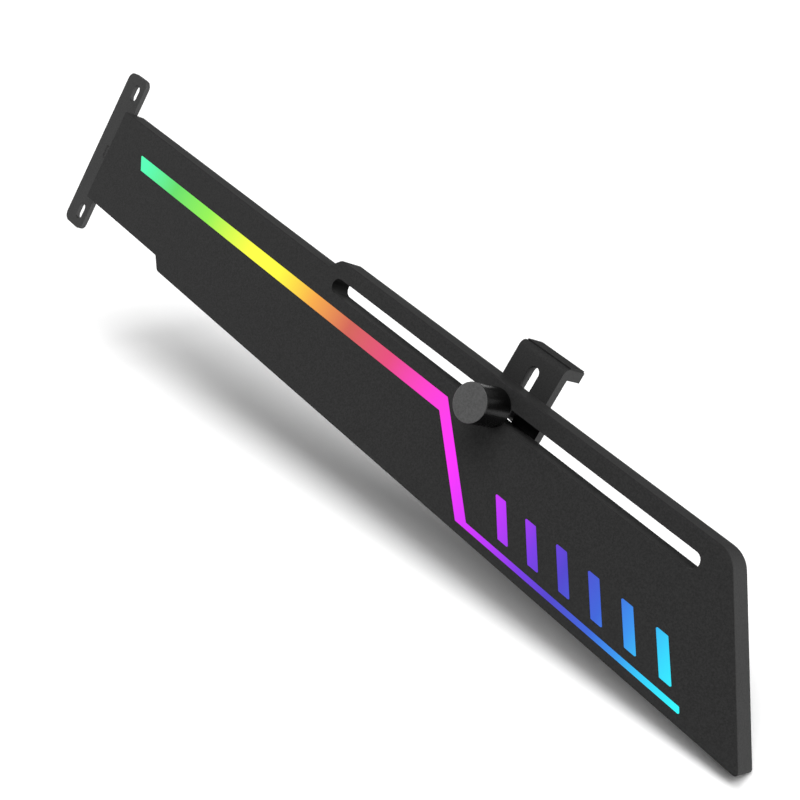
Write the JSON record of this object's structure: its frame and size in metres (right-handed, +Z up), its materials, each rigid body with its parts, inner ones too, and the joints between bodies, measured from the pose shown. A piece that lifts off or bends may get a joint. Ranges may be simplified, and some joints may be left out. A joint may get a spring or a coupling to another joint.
{
  "type": "graphics card support bracket",
  "caption": "Flat lit bar screwed to a case's slot covers; a knob-clamped folded arm slides along its slot and up or down to hold up a graphics card's free end.",
  "frame": {"origin": "midway between the mounting plate's two slots, on the plate's rear face", "axes": "+X along the bar from the plate to the slanted end, +Y to the rear (away from the lit face), +Z up as in use"},
  "size_m": [0.2684, 0.0255, 0.0537],
  "materials": {
    "bar_black": "black, fine matte grain",
    "cover_black": "matte",
    "screw_black": "black oxide",
    "light_guide": "translucent, lit in a rainbow along the bar",
    "board": "green solder mask",
    "led": "white body",
    "connector": "moulded",
    "screw_steel": "zinc plated",
    "rubber": "matte",
    "plate_black": "black powder coat",
    "bush": "turned",
    "bolt_black": "black oxide",
    "washer": "moulded",
    "knob_black": "black, turned, fine grain",
    "insert": "turned",
    "arm_black": "black powder coat",
    "pad": "matte"
  },
  "bodies": {
    "housing": {"front_housing": "bar_black", "back_cover": "cover_black", "cover_screws": "screw_black", "stripe_light_guide": "light_guide", "slat_light_guide": "light_guide", "led_board": "board", "led_chips": "led", "board_connector": "connector", "board_screws": "screw_steel", "cable_grommet": "rubber", "mounting_plate": "plate_black", "mounting_plate_screws": "screw_steel"},
    "clamp_carriage": {"slot_bush": "bush"},
    "bolt": {"clamp_bolt": "bolt_black"},
    "arm": {"support_arm": "arm_black", "arm_pad": "pad"},
    "washer": {"knob_washer": "washer"},
    "turning_knob": {"knob": "knob_black", "knob_insert": "insert"}
  },
  "joints": [
    {"name": "clamp_slide", "type": "slide", "parent": "housing", "child": "clamp_carriage", "axis": [1, 0, 0], "range_m": [-0.0592, 0.0592]},
    {"name": "arm_swivel", "type": "hinge", "parent": "clamp_carriage", "child": "bolt", "pos_m": [0.1715, 0, 0.0121], "axis": [0, 1, 0], "continuous": true},
    {"name": "arm_height", "type": "slide", "parent": "bolt", "child": "arm", "axis": [0, 0, 1], "range_m": [-0.0098, 0.022]},
    {"name": "knob_backoff", "type": "slide", "parent": "bolt", "child": "washer", "axis": [0, -1, 0], "range_m": [0, 0.0015]},
    {"name": "knob_turn", "type": "hinge", "parent": "washer", "child": "turning_knob", "pos_m": [0.1715, 0, 0.0121], "axis": [0, -1, 0], "range_deg": [-45, 1170]}
  ],
  "couplings": [
    {"joint": "knob_turn", "follows": "knob_backoff", "rad_per_m": 12566}
  ]
}
